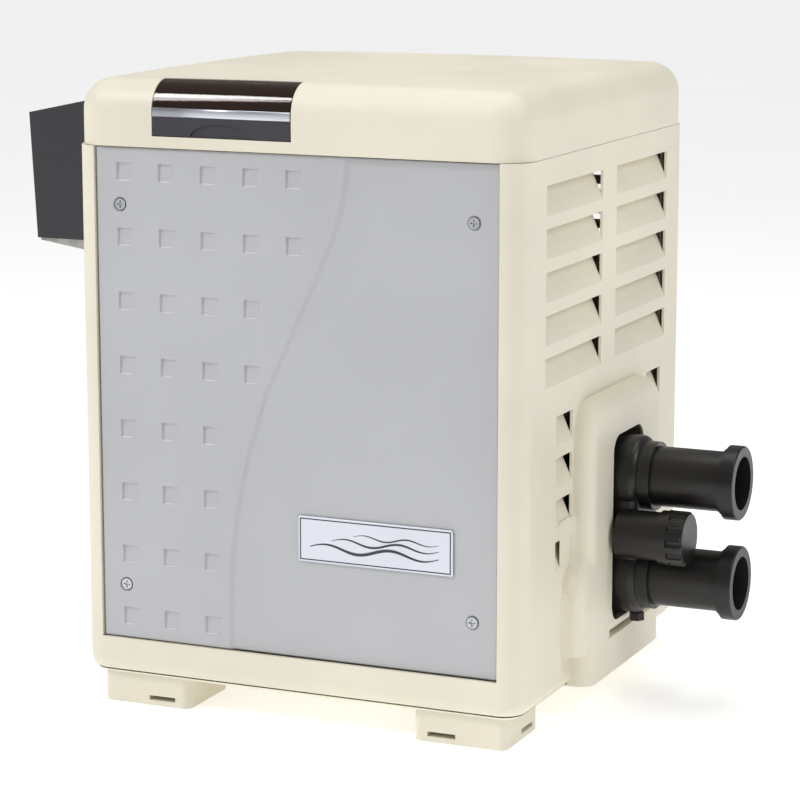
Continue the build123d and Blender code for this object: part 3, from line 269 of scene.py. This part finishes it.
MATERIALS = {
    "almond_plastic": moulded("almond_plastic", ALMOND),
    "grey_paint": coated("grey_paint", DOOR_GREY),
    "nameplate": metal("nameplate_metal", srgb(214, 217, 226), (0.3, 0.42), (60.0, 1.0, 1.0), 30.0, 0.95),
    "charcoal_paint": coated("charcoal_paint", srgb(44, 44, 49), (0.42, 0.56)),
    "galvanised": galvanised("galvanised_sheet", srgb(170, 168, 163)),
    "black_plastic": moulded("black_plastic", srgb(36, 34, 33), 500.0, 0.0002, (0.3, 0.45), 0.8),
    "smoked_window": glassy("smoked_window", srgb(84, 58, 42), 0.8),
    "dark_trim": moulded("dark_trim", srgb(62, 60, 66), 1200.0, 0.0001, (0.3, 0.4)),
    "steel": metal("bright_steel", srgb(196, 198, 202)),
    "rubber": moulded("rubber", srgb(26, 26, 26), 700.0, 0.0002, (0.6, 0.75)),
    "copper": metal("copper", srgb(200, 120, 80), (0.25, 0.45), (1.0, 1.0, 1.0), 90.0, 0.6),
    "brass": metal("brass", srgb(200, 165, 90)),
    "stainless": metal("stainless", srgb(190, 186, 178), (0.22, 0.38)),
    "cast_aluminium": cast("cast_aluminium", srgb(178, 178, 180)),
    "board": circuit("circuit_board"),
    "display": lit_display("amber_display"),
    "led": glassy("led_lens", srgb(210, 60, 40), 0.4, 0.2),
    "button_white": moulded("button_white", srgb(214, 216, 220), 1500.0, 0.00005),
    "button_red": moulded("button_red", srgb(188, 44, 40), 1500.0, 0.00005),
    "knob_red": moulded("knob_red", srgb(176, 34, 30), 900.0, 0.0001),
    "electrics_grey": moulded("electrics_grey", srgb(96, 100, 106), 900.0, 0.0001),
}

for entry in frame["record"]["subparts"]:
    mesh = NODES[entry["node"]].data
    mesh.materials.clear()
    mesh.materials.append(MATERIALS[entry["material_slot"]])


# ---------------------------------------------------------------- mesh helpers
def new_piece(name, verts, faces, material, body):
    """A mesh object from points and faces, riding on a body."""
    mesh = bpy.data.meshes.new(name)
    mesh.from_pydata(verts, [], faces)
    mesh.validate()
    mesh.update()
    piece = bpy.data.objects.new(name, mesh)
    bpy.context.scene.collection.objects.link(piece)
    mesh.materials.append(MATERIALS[material])
    for polygon in mesh.polygons:
        polygon.use_smooth = True
    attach(piece, body)
    return piece


def smoothstep(value):
    value = min(1.0, max(0.0, value))
    return value * value * (3 - 2 * value)


# ---------------------------------------------------------------- service door
door_low, door_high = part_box("service_door")
DOOR_X0, DOOR_X1 = door_low.x, door_high.x
DOOR_Z0, DOOR_Z1 = door_low.z, door_high.z
DOOR_Y = door_low.y
DOOR_BASE_Z = 78.5 * MM
STEP_POINTS = [(67, 560), (61, 512), (51, 475), (34, 436), (12, 391), (-11, 341), (-34, 292), (-49, 243),
               (-59, 208), (-67, 170), (-76, 110), (-78, 12), (-78, -5)]
STEP_DEEP = 2.6 * MM
STEP_WIDE = 5.0 * MM
DIMPLE = 19.5 * MM
DIMPLE_DEEP = 2.6 * MM
DIMPLE_X0 = -203 * MM
DIMPLE_Z0 = DOOR_BASE_Z + 529 * MM
DIMPLE_PITCH_X = 51.5 * MM
DIMPLE_PITCH_Z = 71.8 * MM
DIMPLES_PER_ROW = (5, 5, 4, 4, 3, 3, 3, 3)
DOOR_SCREWS = [(side * 210 * MM, z * MM) for side in (-1, 1) for z in (141, 571)]
CUP_R = 7.5 * MM
CUP_DEEP = 4.4 * MM
DOOR_EDGE_R = 2.2 * MM


def step_x(z):
    """Where the S-shaped step runs at a height."""
    height = (z - DOOR_BASE_Z) / MM
    for (x_a, z_a), (x_b, z_b) in zip(STEP_POINTS, STEP_POINTS[1:]):
        if height >= z_b:
            part = (height - z_b) / (z_a - z_b)
            return (x_b + (x_a - x_b) * part) * MM
    return STEP_POINTS[-1][0] * MM


STEP_SAMPLES = 240
step_table = [step_x(DOOR_Z0 + (DOOR_Z1 - DOOR_Z0) * i / STEP_SAMPLES) for i in range(STEP_SAMPLES + 1)]
for _ in range(60):
    step_table = [
        (step_table[max(0, i - 1)] + 2 * x + step_table[min(STEP_SAMPLES, i + 1)]) / 4
        for i, x in enumerate(step_table)
    ]


def smooth_step_x(z):
    place = (z - DOOR_Z0) / (DOOR_Z1 - DOOR_Z0) * STEP_SAMPLES
    index = min(STEP_SAMPLES - 1, max(0, int(place)))
    part = place - index
    return step_table[index] * (1 - part) + step_table[index + 1] * part


def door_depth(x, z):
    """How far the face of the door lies behind its foremost plane."""
    deep = STEP_DEEP * smoothstep((x - smooth_step_x(z)) / STEP_WIDE + 0.5)
    for row, count in enumerate(DIMPLES_PER_ROW):
        dz = z - (DIMPLE_Z0 - row * DIMPLE_PITCH_Z)
        if abs(dz) > DIMPLE / 2 + 1.0 * MM:
            continue
        for column in range(count):
            dx = x - (DIMPLE_X0 + column * DIMPLE_PITCH_X)
            if abs(dx) > DIMPLE / 2 + 1.0 * MM:
                continue
            fade = smoothstep((DIMPLE / 2 + 0.6 * MM - max(abs(dx), abs(dz))) / (1.2 * MM))
            across = 0.5 - dx / DIMPLE
            down = 0.5 + dz / DIMPLE
            deep += DIMPLE_DEEP * fade * max(0.0, 0.15 + 0.45 * across + 0.4 * down)
    for cup_x, cup_z in DOOR_SCREWS:
        away = math.hypot(x - cup_x, z - cup_z)
        if away < CUP_R + 3 * MM:
            deep = max(deep, CUP_DEEP * smoothstep((CUP_R + 1.0 * MM - away) / (1.6 * MM)))
    edge = min(x - DOOR_X0, DOOR_X1 - x, z - DOOR_Z0, DOOR_Z1 - z)
    if edge < DOOR_EDGE_R:
        deep += DOOR_EDGE_R - math.sqrt(max(0.0, DOOR_EDGE_R ** 2 - (DOOR_EDGE_R - edge) ** 2))
    return deep


def ruled_lines(low, high, coarse, fine_spots):
    """Grid lines from low to high, finer around each spot (centre, half width, pitch)."""
    lines = {round(low + (high - low) * i / round((high - low) / coarse), 5)
             for i in range(round((high - low) / coarse) + 1)}
    for centre, half, pitch in fine_spots:
        lines = {v for v in lines if abs(v - centre) > half + pitch / 2}
        count = round(2 * half / pitch)
        lines |= {round(centre - half + 2 * half * i / count, 5) for i in range(count + 1)}
    return sorted(v for v in lines if low <= v <= high)


def build_door():
    spots_x = [(x, 9.5 * MM, 0.7 * MM) for x in (-210 * MM, 210 * MM)]
    for column in range(5):
        centre = DIMPLE_X0 + column * DIMPLE_PITCH_X
        spots_x += [(centre + side * DIMPLE / 2, 1.2 * MM, 0.6 * MM) for side in (-1, 1)]
    spots_x += [(DOOR_X0 + 1.2 * MM, 1.2 * MM, 0.4 * MM), (DOOR_X1 - 1.2 * MM, 1.2 * MM, 0.4 * MM)]
    spots_z = [(z * MM, 9.5 * MM, 0.7 * MM) for z in (141, 571)]
    for row in range(8):
        centre = DIMPLE_Z0 - row * DIMPLE_PITCH_Z
        spots_z += [(centre + side * DIMPLE / 2, 1.2 * MM, 0.6 * MM) for side in (-1, 1)]
    spots_z += [(DOOR_Z0 + 1.2 * MM, 1.2 * MM, 0.4 * MM), (DOOR_Z1 - 1.2 * MM, 1.2 * MM, 0.4 * MM)]
    xs = ruled_lines(DOOR_X0, DOOR_X1, 2.6 * MM, spots_x)
    zs = ruled_lines(DOOR_Z0, DOOR_Z1, 4.0 * MM, spots_z)
    verts = [(x, DOOR_Y + door_depth(x, z), z) for z in zs for x in xs]
    wide = len(xs)
    faces = [
        (row * wide + i, row * wide + i + 1, (row + 1) * wide + i + 1, (row + 1) * wide + i)
        for row in range(len(zs) - 1)
        for i in range(wide - 1)
    ]
    rim = list(range(wide))
    rim += [row * wide + wide - 1 for row in range(1, len(zs))]
    rim += [(len(zs) - 1) * wide + i for i in range(wide - 2, -1, -1)]
    rim += [row * wide for row in range(len(zs) - 2, 0, -1)]
    start = len(verts)
    verts += [(verts[i][0], door_high.y, verts[i][2]) for i in rim]
    count = len(rim)
    for i in range(count):
        following = (i + 1) % count
        faces.append((rim[following], rim[i], start + i, start + following))
    faces.append(tuple(start + i for i in range(count)))
    return new_piece("door_skin", verts, faces, "grey_paint", "door")


door_skin = build_door()
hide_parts("service_door")


# ---------------------------------------------------------------- nameplate dressing
plate_low, plate_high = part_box("nameplate")
PLATE_Y = plate_low.y


def plate_border():
    """The thin dark printed frame just inside the edge of the plate."""
    inset, width, proud = 2.2 * MM, 1.3 * MM, 0.15 * MM
    verts = []
    for grow in (inset, inset + width):
        left, right = plate_low.x + grow, plate_high.x - grow
        low, high = plate_low.z + grow, plate_high.z - grow
        for x, z in ((left, low), (right, low), (right, high), (left, high)):
            verts.append((x, PLATE_Y - proud, z))
            verts.append((x, PLATE_Y + proud, z))
    faces = []
    for i in range(4):
        j = (i + 1) % 4
        a, b = 2 * i, 2 * j
        c, d = 8 + 2 * i, 8 + 2 * j
        faces += [(a, b, d, c), (a + 1, c + 1, d + 1, b + 1), (a, a + 1, b + 1, b), (c, d, d + 1, c + 1)]
    piece = new_piece("nameplate_border", verts, faces, "dark_trim", "door")
    for polygon in piece.data.polygons:
        polygon.use_smooth = False
    return piece


def plate_wave(name, x0, x1, z_mid, swing, thick, cycles, material):
    """A plain printed wave across the plate, thickest in its middle."""
    steps = 48
    proud = 0.18 * MM
    verts, faces = [], []
    for i in range(steps + 1):
        part = i / steps
        x = x0 + (x1 - x0) * part
        z = z_mid + swing * math.sin(cycles * 2 * math.pi * part)
        half = thick / 2 * (0.25 + 0.75 * math.sin(math.pi * part))
        verts += [(x, PLATE_Y - proud, z - half), (x, PLATE_Y - proud, z + half),
                  (x, PLATE_Y + proud, z - half), (x, PLATE_Y + proud, z + half)]
    for i in range(steps):
        a, b = 4 * i, 4 * (i + 1)
        faces += [(a, b, b + 1, a + 1), (a + 2, a + 3, b + 3, b + 2)]
        faces += [(a, a + 2, b + 2, b), (a + 1, b + 1, b + 3, a + 3)]
    faces += [(0, 1, 3, 2), (4 * steps, 4 * steps + 2, 4 * steps + 3, 4 * steps + 1)]
    return new_piece(name, verts, faces, material, "door")


plate_border()
for index, (swing, thick, rise) in enumerate(((4.0, 3.6, -8.0), (3.2, 2.6, 0.5), (2.4, 1.8, 7.5))):
    plate_wave(f"nameplate_wave_{index}", plate_low.x + (14 + 26 * index) * MM, plate_high.x - 16 * MM,
               (plate_low.z + plate_high.z) / 2 + rise * MM, swing * MM, thick * MM, 2.0, "dark_trim")


# ---------------------------------------------------------------- foot of the manifold swelling
PANEL_X = 267 * MM
SWELL_PROUD = 22.5 * MM
SWELL_FRONT = -110 * MM
SWELL_EDGE_R = 17 * MM
LOBE_Y = -97 * MM
LOBE_R = 46 * MM
LOBE_CAP = 138 * MM
LOBE_FOOT = 78.5 * MM
SKIN_LIFT = 0.35 * MM


def swell_inside(y, z):
    """How far a point of the side lies inside the outline of the swelling and its lobe."""
    flat = y - SWELL_FRONT
    lobe = LOBE_R - (abs(y - LOBE_Y) if z < LOBE_CAP else math.hypot(y - LOBE_Y, z - LOBE_CAP))
    blend = 12 * MM
    near = max(0.0, blend - abs(flat - lobe)) / blend
    return max(flat, lobe) + near * near * blend / 4


def build_swell_skin():
    """The lobe at the lower front of the swelling, running smoothly into it."""
    y0, y1, z0, z1 = -148 * MM, -46 * MM, LOBE_FOOT, 232 * MM
    columns, rows = 90, 84
    verts = []
    for row in range(rows + 1):
        z = z0 + (z1 - z0) * row / rows
        for column in range(columns + 1):
            y = y0 + (y1 - y0) * column / columns
            inside = swell_inside(y, z)
            if inside <= 0:
                rise = -1.0 * MM
            else:
                bite = max(0.0, SWELL_EDGE_R - inside)
                rise = SWELL_PROUD - SWELL_EDGE_R + math.sqrt(SWELL_EDGE_R ** 2 - bite ** 2)
                fade = smoothstep((z1 - z) / (24 * MM)) * smoothstep((y1 - y) / (16 * MM))
                rise += SKIN_LIFT * (2 * fade - 1)
            verts.append((PANEL_X + rise, y, z))
    wide = columns + 1
    faces = [
        (row * wide + i, row * wide + i + 1, (row + 1) * wide + i + 1, (row + 1) * wide + i)
        for row in range(rows)
        for i in range(columns)
    ]
    start = len(verts)
    verts += [(PANEL_X - 1.0 * MM, verts[i][1], z0) for i in range(wide)]
    faces += [(start + i, start + i + 1, i + 1, i) for i in range(columns)]
    return new_piece("swell_skin", verts, faces, "almond_plastic", "cabinet")


build_swell_skin()


# ---------------------------------------------------------------- painted highlight across the flap
flap_low, flap_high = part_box("flap_grip")
window_low, window_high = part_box("window_flap")


def painted_highlight_strip():
    """A bright metal strip where the dark grip meets the window: a painted highlight standing in for the
    reflection of a strip light on the curve.
    """
    low_z = flap_high.z - 1.2 * MM
    high_z = flap_high.z + 8.5 * MM
    front = window_low.y
    steps = 8
    proud = 0.7 * MM
    verts, faces = [], []
    radius = 35 * MM
    start_z = 674.2 * MM
    for i in range(steps + 1):
        z = low_z + (high_z - low_z) * i / steps
        rise = max(0.0, z - start_z)
        y = front + radius - math.sqrt(radius ** 2 - rise ** 2)
        swell = proud * math.sin(math.pi * i / steps) ** 0.4
        for x in (window_low.x + 0.2 * MM, window_high.x - 0.2 * MM):
            verts += [(x, y - swell, z), (x, y + 0.6 * MM, z)]
    for i in range(steps):
        a, b = 4 * i, 4 * (i + 1)
        faces += [(a, a + 2, b + 2, b), (a + 1, b + 1, b + 3, a + 3)]
        faces += [(a, b, b + 1, a + 1), (a + 2, a + 3, b + 3, b + 2)]
    faces += [(0, 1, 3, 2), (4 * steps, 4 * steps + 2, 4 * steps + 3, 4 * steps + 1)]
    return new_piece("painted_highlight_strip", verts, faces, "nameplate", "flap")


# Painted highlight: a bright metal strip standing in for a light's reflection where the window starts to
# curve.
painted_highlight_strip()


# ---------------------------------------------------------------- bypass spring
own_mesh(NODES["bypass_spring"])


# ---------------------------------------------------------------- floor, light and camera
def build_floor():
    half = 40.0
    mesh = bpy.data.meshes.new("floor")
    corners = [(-half, -half, 0), (half, -half, 0), (half, half, 0), (-half, half, 0)]
    mesh.from_pydata(corners, [], [(0, 1, 2, 3)])
    floor = bpy.data.objects.new("floor", mesh)
    bpy.context.scene.collection.objects.link(floor)
    s = Shader("floor_white")
    tone = s.ramp(s.noise(1.5), [(0.3, (0.93, 0.93, 0.93)), (0.7, (0.96, 0.96, 0.96))])
    s.feed(Base_Color=tone, Roughness=0.85, Emission_Color=(1.0, 1.0, 1.0), Emission_Strength=0.42)
    mesh.materials.append(s.material)


def area_light(name, place, aim, size, power, colour=(1.0, 1.0, 1.0)):
    data = bpy.data.lights.new(name, "AREA")
    data.shape = "RECTANGLE"
    data.size, data.size_y = size
    data.energy = power
    data.color = colour
    light = bpy.data.objects.new(name, data)
    bpy.context.scene.collection.objects.link(light)
    light.location = place
    light.rotation_euler = (Vector(aim) - Vector(place)).to_track_quat("-Z", "Y").to_euler()


def sun_light(toward, strength, angle):
    data = bpy.data.lights.new("sun", "SUN")
    data.energy = strength
    data.angle = math.radians(angle)
    light = bpy.data.objects.new("sun", data)
    bpy.context.scene.collection.objects.link(light)
    light.rotation_euler = (-Vector(toward)).to_track_quat("-Z", "Y").to_euler()


WORLD_STRENGTH = 0.31

build_floor()
sun_light((-0.5, -0.45, 0.74), 0.75, 12.0)
area_light("key", (-2.0, -2.2, 2.8), (0, -0.2, 0.55), (0.9, 0.9), 32)
area_light("fill_right", (2.5, -0.5, 2.5), (0.27, 0, 0.4), (1.2, 1.2), 24)
area_light("top", (0.3, 0.3, 3.0), (0, 0, 0.6), (1.8, 1.8), 24)

world = bpy.data.worlds.new("studio")
bpy.context.scene.world = world
world.use_nodes = True
world.node_tree.nodes["Background"].inputs["Color"].default_value = (1.0, 1.0, 1.0, 1.0)
world.node_tree.nodes["Background"].inputs["Strength"].default_value = WORLD_STRENGTH

YAW = math.radians(23.744)
PITCH = math.radians(10.724)
camera_data = bpy.data.cameras.new("camera")
camera_data.lens = 129.71
camera_data.sensor_width = 36.0
camera = bpy.data.objects.new("camera", camera_data)
bpy.context.scene.collection.objects.link(camera)
camera.location = (1.34094, -3.02473, 0.94884)
camera.rotation_euler = (math.pi / 2 - PITCH, 0.0, YAW)
bpy.context.scene.camera = camera

bpy.context.scene.view_settings.view_transform = "Standard"
